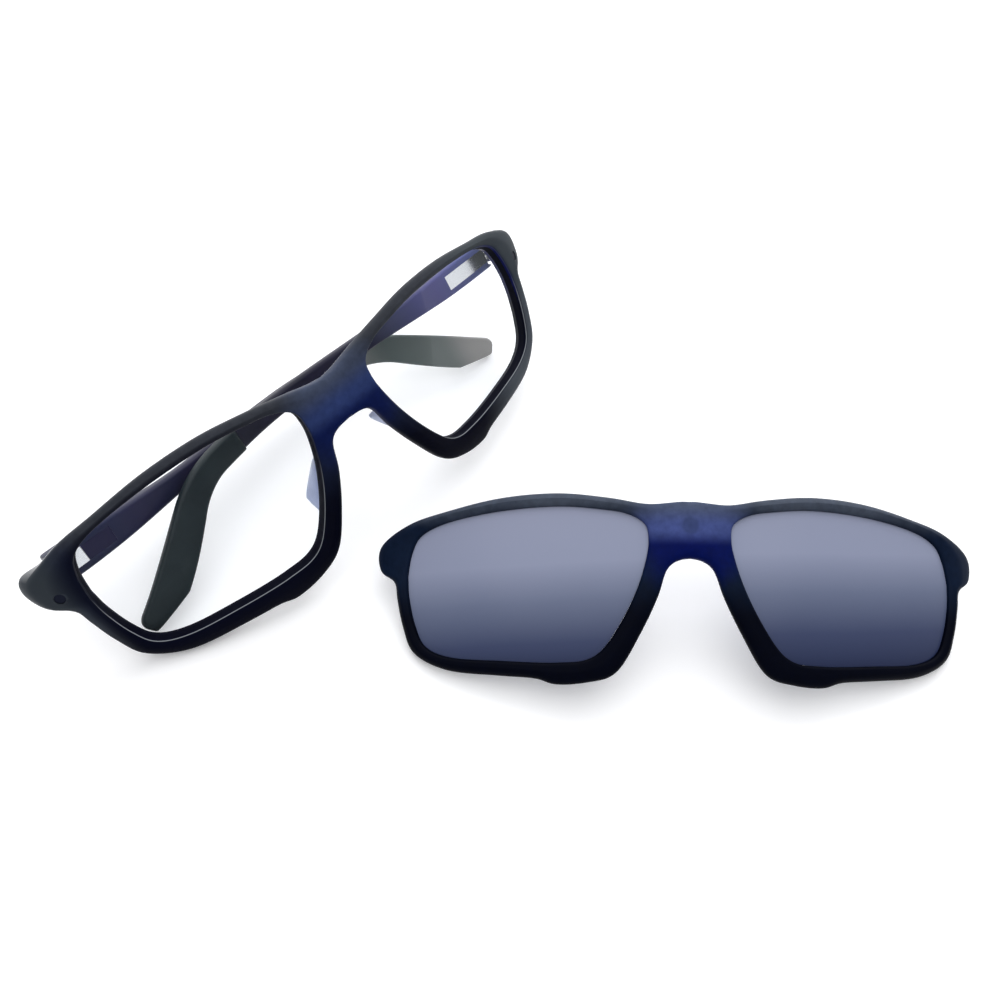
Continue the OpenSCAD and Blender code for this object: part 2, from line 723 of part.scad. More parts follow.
front_frame();
lens(1);  // lens_right
lens(-1);  // lens_left
nose_pad(1);  // nose_pad_right
nose_pad(-1);  // nose_pad_left
hinge_leaf(1);  // hinge_leaf_right
hinge_leaf(-1);  // hinge_leaf_left
hinge_screw(1);  // hinge_screw_right
hinge_screw(-1);  // hinge_screw_left
magnet(0);  // magnet_right
magnet(1);  // magnet_left
magnet(2);  // magnet_bridge
hinge_slider(1);  // hinge_slider_right
hinge_slider(-1);  // hinge_slider_left
slider_nut(1);  // slider_nut_right
slider_nut(-1);  // slider_nut_left
temple_arm(1);  // temple_arm_right
temple_arm(-1);  // temple_arm_left
temple_tip(1);  // temple_tip_right
temple_tip(-1);  // temple_tip_left
spring_case(1);  // spring_case_right
spring_case(-1);  // spring_case_left
hinge_spring(1);  // hinge_spring_right
hinge_spring(-1);  // hinge_spring_left
clip_frame();
sun_lens(1);  // sun_lens_right
sun_lens(-1);  // sun_lens_left
clip_magnet(0);  // clip_magnet_right
clip_magnet(1);  // clip_magnet_left
clip_magnet(2);  // clip_magnet_bridge
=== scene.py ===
import math

import bpy
import bmesh
import numpy as np
from mathutils import Matrix, Vector


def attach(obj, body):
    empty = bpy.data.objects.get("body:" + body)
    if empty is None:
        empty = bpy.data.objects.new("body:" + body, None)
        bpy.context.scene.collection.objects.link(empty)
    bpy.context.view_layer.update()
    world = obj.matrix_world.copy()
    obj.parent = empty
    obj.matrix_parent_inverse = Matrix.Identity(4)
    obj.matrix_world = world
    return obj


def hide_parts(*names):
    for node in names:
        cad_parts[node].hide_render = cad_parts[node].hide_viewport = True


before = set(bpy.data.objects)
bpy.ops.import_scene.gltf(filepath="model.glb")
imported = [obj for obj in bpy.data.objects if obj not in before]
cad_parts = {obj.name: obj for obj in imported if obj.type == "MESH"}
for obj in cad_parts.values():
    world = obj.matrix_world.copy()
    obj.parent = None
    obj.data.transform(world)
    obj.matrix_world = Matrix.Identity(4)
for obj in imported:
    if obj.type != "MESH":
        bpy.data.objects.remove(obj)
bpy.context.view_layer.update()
MM = 0.001

# Sizes, as in the part's source, in millimetres and degrees
GLASSES = dict(
    lens_w=55.5, lens_h=36.8, mid=1.0, bridge=18.8, top=2.5, side=3.7, bottom=5.0, nose=4.0,
    bridge_top=17.4, arch=6.4, r=143.0, depth=3.9, lens_t=1.7, end=7.9, shoulder=2.6, ends=True,
)
CLIP = dict(
    lens_w=53.4, lens_h=34.5, mid=-0.6, bridge=17.5, top=3.2, side=2.9, bottom=3.3, nose=4.2,
    bridge_top=17.7, arch=4.8, r=146.3, depth=3.0, lens_t=1.1, end=7.1, shoulder=2.9, ends=False,
)
STEP_H, RIDGE_H, EDGE_ROUND, LIP_BEVEL, LIP_DEPTH, LENS_GAP = 1.4, 0.5, 0.8, 0.45, 1.0, 0.08
CREST_AT, REAR_OUT, REAR_IN = 0.45, 0.62, 0.42
END_FLARE, END_DROP, SEAT_WALL, END_LOW, END_HIGH, END_FADE = 1.0, 0.4, 0.4, 3.0, 12.2, 2.2
MAGNETS = {"magnet_right": (69.2, 6.4), "magnet_left": (-69.2, 6.4), "magnet_bridge": (0, 11.8)}
CLIP_MAGNETS = {
    "clip_magnet_right": (67.0, 6.4), "clip_magnet_left": (-67.0, 6.4), "clip_magnet_bridge": (0, 11.8),
}
POCKET_R, POCKET_DEPTH = 1.25, 1.05
PIN = (67.6, 8.7, -25.6)
KNUCKLE_D, HINGE_ROOM, LEAF_T, END_REACH, BUTT_GAP = 3.2, 0.35, 0.7, 1.0, 0.3
KNUCKLE_H, EAR_GAP, EAR_T = 2.4, 0.06, 1.1
CASE_L, CASE_H, CASE_T, CASE_PLAY, ARM_INSIDE = 13.5, 3.9, 2.6, 0.02, 1.2
BEND_AT, TIP_LEN, BEND_ANGLE, BEND_R = 97.5, 34.6, 31.0, 26.0
ARM_H, ARM_MID_H, NECK_H, TIP_H = 7.6, 4.8, 5.7, 8.3
TAPER_FROM, NARROW_AT, THIN_AT = 8, 42.0, 38.0
ARM_T, ARM_MID_T, TIP_T, BOW, BOW_FULL, BOW_END = 5.2, 3.0, 2.2, 4.6, 70, -12.0
TIP_SHARE, FLARE_L, CHAMFER_L = 0.42, 30, 11
SLEEVE_AT, SLEEVE_T = 83.0, 0.3
BASE = (-5.4, 42.43)
LEAN, SIDE_TILT, REST_H = 30.5, -3.0, 28.08
CLIP_DX, CLIP_DY, CLIP_TURN, CLIP_TILT, CLIP_REST_H = 26.5, 73.4, 47.1, 23.3, 21.0

# By side, 1 right and -1 left: the tilt of a hinge's pin, and what a folded temple lacks to a half turn
CANT = {1: 2.2, -1: 3.8}
SHORT = {1: 2.8, -1: 7.5}

# Sizes of the visual shells only. A lens stops short of its rim, and a tip ends shorter and rounder.
LENS_SHORT, TIP_SHORTER, TIP_ROUND = 0.04, 0.6, 2.6
CUT_OVER, CUT_INSIDE = 2.0, 1
FRONT_STEPS, FRONT_LEVEL, LENS_STEPS, LENS_RINGS = 5, 2, 6, 18

SEAT_X = PIN[0] + KNUCKLE_D / 2 + LEAF_T + HINGE_ROOM
SEAT_BACK = -PIN[2] - KNUCKLE_D / 2 - HINGE_ROOM
END_BACK = -PIN[2] + END_REACH


def rotation(axis, degrees):
    return np.array(Matrix.Rotation(math.radians(degrees), 3, axis))


# Places of the two items: a rotation, and a position in millimetres
ON_TABLE = (rotation("Y", SIDE_TILT) @ rotation("X", 90 - LEAN), np.array([BASE[0], BASE[1], REST_H]))
BESIDE = (
    rotation("Z", -CLIP_TURN) @ rotation("X", CLIP_TILT),
    np.array([BASE[0] + CLIP_DX, BASE[1] - CLIP_DY, CLIP_REST_H]),
)


def placed(points, place):
    return (np.asarray(points, float) @ place[0].T + place[1]) * MM


# Curves of the fronts
def curve(a, b, c, d, t):
    """The point at t, from b at 0 to c at 1, on a smooth curve through all four."""
    bend, sway = 2 * a - 5 * b + 4 * c - d, 3 * b - a - 3 * c + d
    return 0.5 * (2 * b + (c - a) * t + bend * t * t + sway * t**3)


def limited(t):
    return min(1.0, max(0.0, t))


def smooth(t):
    c = limited(t)
    return c * c * (3 - 2 * c)


def mix(a, b, t):
    return a + (b - a) * t


def spokes(f):
    """Round a lens: a place on its edge as shares of its box, then the way to the outer edge in millimetres."""
    top, side, bottom, nose, end, sh = f["top"], f["side"], f["bottom"], f["nose"], f["end"], f["shoulder"]
    return np.array([
        [0.02, 0.88, 0, 0], [0.09, 0.945, -5, top * 0.7], [0.19, 0.975, -2, top * 0.85],
        [0.37, 1.0, 0, top], [0.61, 0.98, 0, top], [0.83, 0.92, top * 0.2, top * 0.85],
        [0.945, 0.84, end * 0.45, sh], [0.985, 0.73, end * 1.08, end * 0.25],
        [1.0, 0.59, end * 0.95, end * 0.12], [1.0, 0.53, side * 1.15, side * 0.02],
        [0.993, 0.42, side, -side * 0.05], [0.965, 0.245, side, -side * 0.1],
        [0.915, 0.10, side * 0.95, -side * 0.5], [0.80, 0.03, bottom * 0.35, -bottom * 0.85],
        [0.60, 0.01, bottom * 0.15, -bottom * 0.98], [0.46, 0.0, bottom * 0.05, -bottom * 1.05],
        [0.37, 0.0, bottom * 0.15, -bottom - STEP_H], [0.265, 0.015, -0.5, -(bottom + nose) * 0.635],
        [0.19, 0.09, -nose * 0.65, -nose * 1.25], [0.11, 0.28, -nose * 0.85, -nose * 0.85],
        [0.05, 0.48, -nose, -nose * 0.6], [0.015, 0.66, -nose * 1.15, -nose * 0.5], [0.005, 0.78, 0, 0],
    ])


def end_share(y):
    return smooth(1 - max(END_LOW - y, y - END_HIGH) / END_FADE)


def stations(f, steps):
    """Round the right lens: a point on its edge, one on the outer edge, whether that one lies on the middle
    line, and how far the place belongs to the end piece."""
    s = spokes(f)
    n = len(s)
    p = np.stack([f["bridge"] / 2 + s[:, 0] * f["lens_w"], f["mid"] + (s[:, 1] - 0.5) * f["lens_h"]], 1)
    q = p + s[:, 2:]
    q[0] = [0, f["bridge_top"]]
    q[n - 1] = [0, f["arch"]]
    out = []
    for k in range(n):
        count = (2 if k == n - 1 else 1) * steps
        for i in range(count):
            t = i / count
            a = curve(p[(k - 1) % n], p[k], p[(k + 1) % n], p[(k + 2) % n], t)
            if k == n - 1:
                b = np.array([0, mix(f["arch"], f["bridge_top"], t)])
            else:
                before = np.array([-q[1][0], q[1][1]]) if k == 0 else q[k - 1]
                after = np.array([-q[n - 2][0], q[n - 2][1]]) if k >= n - 2 else q[k + 2]
                b = curve(before, q[k], q[k + 1], after, t)
            middle = k == n - 1 or (k == 0 and i == 0)
            out.append((a, b, middle, end_share(b[1]) if f["ends"] and b[0] > f["lens_w"] else 0.0))
    return out


def wrapped(p, d, r):
    """A flat point laid on a front's ball of radius r, and d above it."""
    z = math.sqrt(r * r - p[0] * p[0] - p[1] * p[1])
    k = (r + d) / r
    return np.array([p[0] * k, p[1] * k, z * k - r])


def section(st, f):
    """The cut through a front at one station, one point for each lane: 0 the lip, 1 its face, 2 the crest,
    3 and 4 the face's outer edge, 5 and 6 the rear's outer edge, 7 to 9 the rear, 10 to 12 the inner wall."""
    a, b, middle, share = st
    edge = 0 if middle and f["arch"] + 0.1 < b[1] < f["bridge_top"] - 0.1 else 1
    r, depth = f["r"], f["depth"]
    w = float(np.linalg.norm(b - a))
    way = (b - a) / max(w, 0.001)
    # The ridge's crest is high along the brow, lower at the sides and lowest under the lens
    crest = RIDGE_H * mix(0.4, 1, smooth(0.5 + (b[1] - a[1]) / 8))
    back = LIP_DEPTH + f["lens_t"] + 2 * LENS_GAP
    out = [
        wrapped(a, -LIP_BEVEL, r),
        wrapped(a + way * LIP_BEVEL, 0, r),
        wrapped(a + way * w * CREST_AT, crest, r),
        wrapped(a + way * (w - EDGE_ROUND), crest * mix(1, 0.1, edge), r),
        wrapped(b, mix(crest, -EDGE_ROUND, edge), r),
        wrapped(b, -depth + EDGE_ROUND * edge, r),
        wrapped(b - way * EDGE_ROUND, -depth, r),
        wrapped(a + way * w * REAR_OUT, -depth, r),
        wrapped(a + way * w * REAR_IN, -depth, r),
        wrapped(a + way * 0.5, -depth, r),
        wrapped(a, -depth + 0.3, r),
        wrapped(a, -back, r),
        wrapped(a, -LIP_DEPTH, r),
    ]
    if share > 0:
        end_x = b[0] + END_FLARE
        wall_x = min(SEAT_X, end_x - EDGE_ROUND - SEAT_WALL)
        for lane, x, z in (
            (4, end_x - EDGE_ROUND, out[4][2] - END_DROP), (5, end_x, EDGE_ROUND - END_BACK),
            (6, end_x - EDGE_ROUND, -END_BACK), (7, wall_x, -END_BACK), (8, wall_x, -SEAT_BACK),
        ):
            out[lane] = mix(out[lane], np.array([x, b[1], z]), share)
    return out


# Mesh helpers
def linked(name, data):
    ob = bpy.data.objects.new(name, data)
    bpy.context.scene.collection.objects.link(ob)
    return ob


def mesh_object(name, verts, faces, smooth_shade=True):
    me = bpy.data.meshes.new(name)
    me.from_pydata([tuple(v) for v in verts], [], [tuple(f) for f in faces])
    bm = bmesh.new()
    bm.from_mesh(me)
    bmesh.ops.remove_doubles(bm, verts=bm.verts, dist=1e-7)
    bmesh.ops.recalc_face_normals(bm, faces=bm.faces)
    bm.to_mesh(me)
    bm.free()
    for p in me.polygons:
        p.use_smooth = smooth_shade
    return linked(name, me)


def applied(ob):
    graph = bpy.context.evaluated_depsgraph_get()
    me = bpy.data.meshes.new_from_object(ob.evaluated_get(graph))
    ob.modifiers.clear()
    ob.data = me
    return ob


def subdivided(ob, level):
    m = ob.modifiers.new("sub", "SUBSURF")
    m.levels = m.render_levels = level
    return applied(ob)


def cut(ob, cutters):
    for c in cutters:
        m = ob.modifiers.new("cut", "BOOLEAN")
        m.operation = "DIFFERENCE"
        m.solver = "EXACT"
        m.object = c
    applied(ob)
    for c in cutters:
        bpy.data.objects.remove(c)


def sharp_by_angle(ob, degrees):
    bm = bmesh.new()
    bm.from_mesh(ob.data)
    limit = math.radians(degrees)
    for e in bm.edges:
        if len(e.link_faces) == 2 and e.calc_face_angle(0) > limit:
            e.smooth = False
    for f in bm.faces:
        f.smooth = True
    bm.to_mesh(ob.data)
    bm.free()
    return ob


# By lane of a section: the marks that the materials read to place painted light and shade on the rims, and
# how hard the long edges stay
MARKS = {
    "lip": {0: 1.0},
    "inner": {0: 0.5, 10: 1.0, 11: 1.0, 12: 1.0},
    "near": {0: 1.0, 1: 1.0, 2: 0.55},
}
CREASES = {0: 0.35, 1: 0.35, 2: 0.55, 10: 0.6}


def front_piece(name, f, place):
    """Both halves of a front, from its stations' sections."""
    st = stations(f, FRONT_STEPS)
    n = len(st)
    rows = np.array([section(s, f) for s in st])
    m = rows.shape[1]
    right = rows.reshape(-1, 3)
    left = right * np.array([-1, 1, 1])
    verts = placed(np.concatenate([right, left]), place)
    faces = []
    for k in range(n):
        for j in range(m):
            # The two halves meet in the middle line, with no wall between them
            if j == 4 and st[k][2] and st[(k + 1) % n][2]:
                continue
            q = [k * m + j, k * m + (j + 1) % m, ((k + 1) % n) * m + (j + 1) % m, ((k + 1) % n) * m + j]
            faces.append(q)
            faces.append([i + n * m for i in q[::-1]])
    me = bpy.data.meshes.new(name)
    me.from_pydata([tuple(v) for v in verts], [], faces)
    bm = bmesh.new()
    bm.from_mesh(me)
    lane = bm.verts.layers.int.new("lane")
    for v in bm.verts:
        v[lane] = v.index % m
    for word, share in MARKS.items():
        layer = bm.verts.layers.float.new(word)
        for v in bm.verts:
            v[layer] = share.get(v[lane], 0.0)
    bmesh.ops.remove_doubles(bm, verts=bm.verts, dist=2e-7)
    bmesh.ops.recalc_face_normals(bm, faces=bm.faces)
    crease = bm.edges.layers.float.new("crease_edge")
    for e in bm.edges:
        a, b = (v[lane] for v in e.verts)
        if a == b:
            e[crease] = CREASES.get(a, 0.0)
    bm.to_mesh(me)
    bm.free()
    return subdivided(linked(name, me), FRONT_LEVEL)


def drum(name, radius, depth, place, at, over, r, segments=40):
    """A round cutter through a front at a place on it, from one height over its face to another."""
    z = math.sqrt(r * r - at[0] ** 2 - at[1] ** 2)
    across, down = math.degrees(math.atan2(at[0], z)), -math.degrees(math.asin(at[1] / r))
    turn = rotation("Y", across) @ rotation("X", down)
    verts = []
    for h in (depth, over):
        for i in range(segments):
            a = 2 * math.pi * i / segments
            spoke = np.array([radius * math.cos(a), radius * math.sin(a), r + h])
            verts.append(turn @ spoke - np.array([0, 0, r]))
    faces = [list(range(segments))[::-1], list(range(segments, 2 * segments))]
    faces += [[i, (i + 1) % segments, segments + (i + 1) % segments, segments + i] for i in range(segments)]
    return mesh_object(name, placed(verts, place), faces, False)


def lens_piece(name, f, place, side):
    """A lens from rings of points on both of its faces; its ground edge is marked."""
    st = stations(f, LENS_STEPS)
    n, rings = len(st), LENS_RINGS
    rim = np.array([a - (b - a) / max(np.linalg.norm(b - a), 0.001) * LENS_SHORT for a, b, _, _ in st])
    centre = np.array([f["bridge"] / 2 + f["lens_w"] / 2, f["mid"]])
    front = LIP_DEPTH + LENS_GAP
    verts, faces = [], []
    for depth in (front, front + f["lens_t"]):
        verts.append(wrapped(centre, -depth, f["r"]))
        for i in range(1, rings + 1):
            for p in rim:
                verts.append(wrapped(centre + (p - centre) * (i / rings) ** 0.9, -depth, f["r"]))
    block = 1 + rings * n
    for layer in (0, 1):
        o = layer * block
        for k in range(n):
            quads = [[o, o + 1 + k, o + 1 + (k + 1) % n]]
            for i in range(rings - 1):
                a = o + 1 + i * n
                quads.append([a + k, a + n + k, a + n + (k + 1) % n, a + (k + 1) % n])
            faces += quads if layer == 0 else [q[::-1] for q in quads]
    last = 1 + (rings - 1) * n
    faces += [[last + k, block + last + k, block + last + (k + 1) % n, last + (k + 1) % n] for k in range(n)]
    pts = np.array(verts) * np.array([side, 1, 1])
    ob = sharp_by_angle(mesh_object(name, placed(pts, place), faces), 40)
    edge = ob.data.attributes.new("edge", "FLOAT", "FACE")
    for i, value in enumerate(edge.data):
        value.value = float(i >= len(edge.data) - n)
    return ob


# Temples, as functions of the length s along the arm from the pin
BEND = math.radians(BEND_ANGLE)
REACH = BEND_R * math.tan(BEND / 2)
BEND_START = BEND_AT - REACH
BEND_ARC = BEND_R * BEND
ARM_END = BEND_START + BEND_ARC + TIP_LEN - REACH
BUTT_AT = END_REACH + BUTT_GAP
CASE_FRONT = KNUCKLE_D / 2 + HINGE_ROOM + 0.3
BOW_FROM = CASE_FRONT + CASE_L
HINGE_HALF = KNUCKLE_H / 2 + EAR_GAP + EAR_T


def bend_turn(s):
    return limited((s - BEND_START) / BEND_ARC) * BEND


def arm_point(s):
    past = max(0.0, s - BEND_START - BEND_ARC)
    return np.array([
        min(s, BEND_START) + BEND_R * math.sin(bend_turn(s)) + past * math.cos(BEND),
        -(BEND_R * (1 - math.cos(bend_turn(s))) + past * math.sin(BEND)),
    ])


def arm_half(s):
    if s < NARROW_AT:
        return mix(ARM_H, ARM_MID_H, smooth((s - TAPER_FROM) / (NARROW_AT - TAPER_FROM))) / 2
    return mix(ARM_MID_H, NECK_H, smooth((s - NARROW_AT) / (BEND_START - NARROW_AT))) / 2


def tip_flare(s, share):
    return mix(NECK_H / 2, TIP_H * share, smooth((s - BEND_START) / FLARE_L))


def tip_down(s):
    return mix(tip_flare(s, 1 - TIP_SHARE), TIP_H * 0.1, limited((s - ARM_END + CHAMFER_L) / CHAMFER_L))


def arm_thick(s):
    if s < THIN_AT:
        return mix(ARM_T, ARM_MID_T, smooth((s - BUTT_AT) / (THIN_AT - BUTT_AT)))
    return mix(ARM_MID_T, TIP_T, smooth((s - THIN_AT) / (ARM_END - THIN_AT)))


def arm_inner(s):
    if s < BOW_FULL:
        return BOW * smooth((s - BOW_FROM) / (BOW_FULL - BOW_FROM)) - ARM_INSIDE
    return mix(BOW, BOW_END, smooth((s - BOW_FULL) / (ARM_END - BOW_FULL))) - ARM_INSIDE


def ring(s, up, down, inner, thick, c, per_corner=5):
    """A cut through an arm: a rectangle with corners of radius c."""
    turn = bend_turn(s)
    up_way = np.array([math.sin(turn), math.cos(turn)])
    at = arm_point(s)
    out = []
    for k in range(4):
        for i in range(per_corner):
            a = math.radians(90 - 90 * k - 90 * i / (per_corner - 1))
            h = (up - c if k in (0, 3) else c - down) + c * math.sin(a)
            v = (inner + thick - c if k < 2 else inner + c) + c * math.cos(a)
            p = at + up_way * h
            out.append([p[0], p[1], v])
    return out


def temple_place(side):
    turn = rotation("Z", CANT[side]) @ rotation("Y", 180 - SHORT[side])
    flip = np.diag([side, 1.0, 1.0])
    return ON_TABLE[0] @ flip @ turn, ON_TABLE[0] @ (flip @ np.array(PIN)) + ON_TABLE[1]


def tube_piece(name, rings, place):
    """A tube through the rings, closed at each end by a flat fan."""
    m = len(rings[0])
    end = (len(rings) - 1) * m
    verts = [p for r in rings for p in r]
    faces = [
        [base + j, base + m + j, base + m + (j + 1) % m, base + (j + 1) % m]
        for base in range(0, end, m) for j in range(m)
    ]
    for base, r in ((0, rings[0]), (end, rings[-1])):
        centre = len(verts)
        verts.append(np.mean(r, 0))
        for j in range(m):
            side = [base + j, base + (j + 1) % m]
            faces.append((side if base else side[::-1]) + [centre])
    return mesh_object(name, placed(verts, place), faces)


def block_cutter(name, low, high, place):
    verts = [[x, y, z] for x in (low[0], high[0]) for y in (low[1], high[1]) for z in (low[2], high[2])]
    faces = [[0, 1, 3, 2], [4, 6, 7, 5], [0, 4, 5, 1], [2, 3, 7, 6], [0, 2, 6, 4], [1, 5, 7, 3]]
    return mesh_object(name, placed(verts, place), faces, False)


def arm_piece(name, side):
    place = temple_place(side)
    spots = [BUTT_AT, BUTT_AT + 0.25] + list(np.linspace(BUTT_AT + 0.8, SLEEVE_AT - 0.02, 72))
    # The first two rings are smaller, which rounds the butt
    smaller = {0: 0.35, 1: 0.08}
    rings = []
    for i, s in enumerate(spots):
        less = smaller.get(i, 0)
        half = arm_half(s) - less
        rings.append(ring(s, half, half, arm_inner(s) + less, arm_thick(s) - 2 * less, 0.9 - less * 0.8))
    ob = tube_piece(name, rings, place)
    # Room for the spring case, and for the hinge in front of it
    half = CASE_H / 2 + CASE_PLAY
    room = HINGE_HALF + HINGE_ROOM + 0.5
    low = -ARM_INSIDE - CUT_INSIDE
    case_end = [CASE_FRONT + CASE_L + CASE_PLAY, half, CASE_T - ARM_INSIDE + CASE_PLAY]
    hinge_end = [CASE_FRONT, room, KNUCKLE_D / 2 + HINGE_ROOM]
    cut(ob, [
        block_cutter("cut_a", [0, -half, low], case_end, place),
        block_cutter("cut_b", [0, -room, low], hinge_end, place),
    ])
    return sharp_by_angle(ob, 35)


def tip_piece(name, side):
    place = temple_place(side)
    start = SLEEVE_AT + 0.08
    end = ARM_END - TIP_SHORTER
    spots = [start, start + 0.2] + list(np.linspace(start + 0.6, end - TIP_ROUND, 70))
    spots += [end - TIP_ROUND * (1 - k / 10) ** 1.6 for k in range(1, 11)]
    # The first rings and the last are smaller, and the corners of the far end are cut round
    first, last = {0: 0.2, 1: 0.05}, {0: 0.62, 1: 0.3, 2: 0.1}
    rings = []
    for i, s in enumerate(spots):
        proud = SLEEVE_T * (1 - smooth((s - ARM_END + FLARE_L) / FLARE_L))
        less = last.get(len(spots) - 1 - i, first.get(i, 0))
        t = max(0.0, (s - end + TIP_ROUND) / TIP_ROUND)
        corner = 1 - math.sqrt(1 - 0.97 * t * t)
        up = tip_flare(s, TIP_SHARE) + proud - less * 0.4 - 1.9 * corner
        down = tip_down(s) + proud - less * 0.4 - 0.25 * corner
        thick = arm_thick(s) + 2 * proud - 2 * less
        radius = min(0.8, thick * 0.42, (up + down) * 0.42)
        rings.append(ring(s, up, down, arm_inner(s) - proud + less, thick, radius))
    return sharp_by_angle(tube_piece(name, rings, place), 50)


# Node materials; these functions give sockets, and take a number, a colour or a socket as a value
def add(t, kind, **values):
    n = t.nodes.new(kind)
    for k, v in values.items():
        setattr(n, k, v)
    return n


def feed(t, socket, value):
    if isinstance(value, (tuple, list)):
        socket.default_value = (*value, 1)
    elif isinstance(value, (int, float)):
        socket.default_value = value
    else:
        t.links.new(value, socket)


def feed_all(t, node, values):
    for word, value in values.items():
        feed(t, node.inputs[word], value)


def new_material(name):
    m = bpy.data.materials.new(name)
    m.use_nodes = True
    t = m.node_tree
    t.nodes.clear()
    out = add(t, "ShaderNodeOutputMaterial", name="out")
    b = add(t, "ShaderNodeBsdfPrincipled")
    t.links.new(b.outputs[0], out.inputs[0])
    return m, t, b


def noise(t, coord, scale, detail, rough=0.55):
    n = add(t, "ShaderNodeTexNoise")
    feed_all(t, n, {"Scale": scale, "Detail": detail, "Roughness": rough, "Vector": coord})
    return n.outputs[0]


def ramp(t, value, stops, interpolation="LINEAR"):
    r = add(t, "ShaderNodeValToRGB")
    r.color_ramp.interpolation = interpolation
    while len(r.color_ramp.elements) < len(stops):
        r.color_ramp.elements.new(0.5)
    for e, (p, c) in zip(r.color_ramp.elements, stops):
        e.position = p
        e.color = (c, c, c, 1) if isinstance(c, (int, float)) else (*c, 1)
    t.links.new(value, r.inputs[0])
    return r.outputs[0]


def bumped(t, b, height, strength, distance):
    n = add(t, "ShaderNodeBump")
    feed_all(t, n, {"Strength": strength, "Distance": distance, "Height": height})
    t.links.new(n.outputs[0], b.inputs["Normal"])


def blended(t, factor, a, b, how="MIX"):
    n = add(t, "ShaderNodeMix", data_type="RGBA", blend_type=how)
    for i, v in ((0, factor), (6, a), (7, b)):
        feed(t, n.inputs[i], v)
    return n.outputs[2]


def math_node(t, op, *values):
    n = add(t, "ShaderNodeMath", operation=op)
    for socket, v in zip(n.inputs, values):
        feed(t, socket, v)
    return n.outputs[0]


def squares(t, x, y):
    return math_node(t, "ADD", math_node(t, "MULTIPLY", x, x), math_node(t, "MULTIPLY", y, y))


def local_coords(t, place):
    """Coordinates in an item's own axes, in millimetres, whole and as x, y and z. On a front x runs across,
    y up to the brow and z out of it; on a temple x runs along the arm and z through it."""
    c = add(t, "ShaderNodeTexCoord")
    m = add(t, "ShaderNodeMapping", vector_type="POINT")
    inverse = Matrix(place[0].T.tolist())
    at = inverse @ Vector(place[1].tolist())
    m.inputs["Scale"].default_value = (1 / MM, 1 / MM, 1 / MM)
    m.inputs["Rotation"].default_value = tuple(inverse.to_euler("XYZ"))
    m.inputs["Location"].default_value = tuple(-at)
    t.links.new(c.outputs["Object"], m.inputs["Vector"])
    s = add(t, "ShaderNodeSeparateXYZ")
    t.links.new(m.outputs[0], s.inputs[0])
    return m.outputs[0], s.outputs


def attribute(t, word):
    return add(t, "ShaderNodeAttribute", attribute_name=word).outputs["Fac"]


def seen_rays(t):
    """1 for what the camera sees, straight, mirrored or through a lens, and 0 for the light on the pieces."""
    rays = add(t, "ShaderNodeLightPath")
    seen = math_node(t, "MAXIMUM", rays.outputs["Is Camera Ray"], rays.outputs["Is Glossy Ray"])
    return math_node(t, "MAXIMUM", seen, rays.outputs["Is Transmission Ray"])


def painted_rim_light(t, x, y, colour, shades):
    """Painted light on the rims: a painted sheen on the faces at the ends, painted shade on the inner walls
    with painted blue light high on the right end, painted shade on the face round the left openings, and a
    painted highlight on the lip low down.
    """
    # From 0 in the middle to 1 at 80 mm to a side, and from 0 at 10 mm under the middle to 1 at 10 mm over it
    to_right, to_left = math_node(t, "MULTIPLY", x, 1 / 80), math_node(t, "MULTIPLY", x, -1 / 80)
    up = math_node(t, "MULTIPLY_ADD", y, 1 / 20, 0.5)
    low = ramp(t, up, [(0.3, 1.0), (0.65, 0.12)])
    high = ramp(t, up, [(0.3, 0.0), (0.55, 1.0)])
    lip = ramp(t, attribute(t, "lip"), [(0.7, 0.0), (0.95, 0.9)])
    inner = ramp(t, attribute(t, "inner"), [(0.15, 0.0), (0.6, 1.0)])
    near = ramp(t, attribute(t, "near"), [(0.3, 0.0), (0.95, 1.0)])
    left = ramp(t, to_left, [(0.15, 0.0), (0.4, 0.85)], "EASE")
    right_end = ramp(t, to_right, [(0.40, 0.0), (0.64, 0.9)], "EASE")
    left_end = ramp(t, to_left, [(0.78, 0.0), (0.88, 0.9)], "EASE")
    ends = math_node(t, "MAXIMUM", right_end, left_end)
    painted_sheen = blended(t, low, shades["painted_sheen"], shades["painted_sheen_low"])
    # Painted sheen on the faces at both ends, paler low down, kept off the inner walls
    colour = blended(t, math_node(t, "MULTIPLY", ends, math_node(t, "SUBTRACT", 1, inner)), colour, painted_sheen)
    # Painted shade on the face round the left openings
    colour = blended(t, math_node(t, "MULTIPLY", near, left), colour, shades["near"])
    # Painted shade on the inner walls, with painted blue light high on the right end
    wall = blended(t, math_node(t, "MULTIPLY", right_end, high), shades["wall"], shades["painted_wall_glow"])
    colour = blended(t, math_node(t, "MULTIPLY", inner, 0.8), colour, wall)
    # Painted highlight on the lip, low down
    return blended(t, math_node(t, "MULTIPLY", lip, low), colour, shades["lip"])


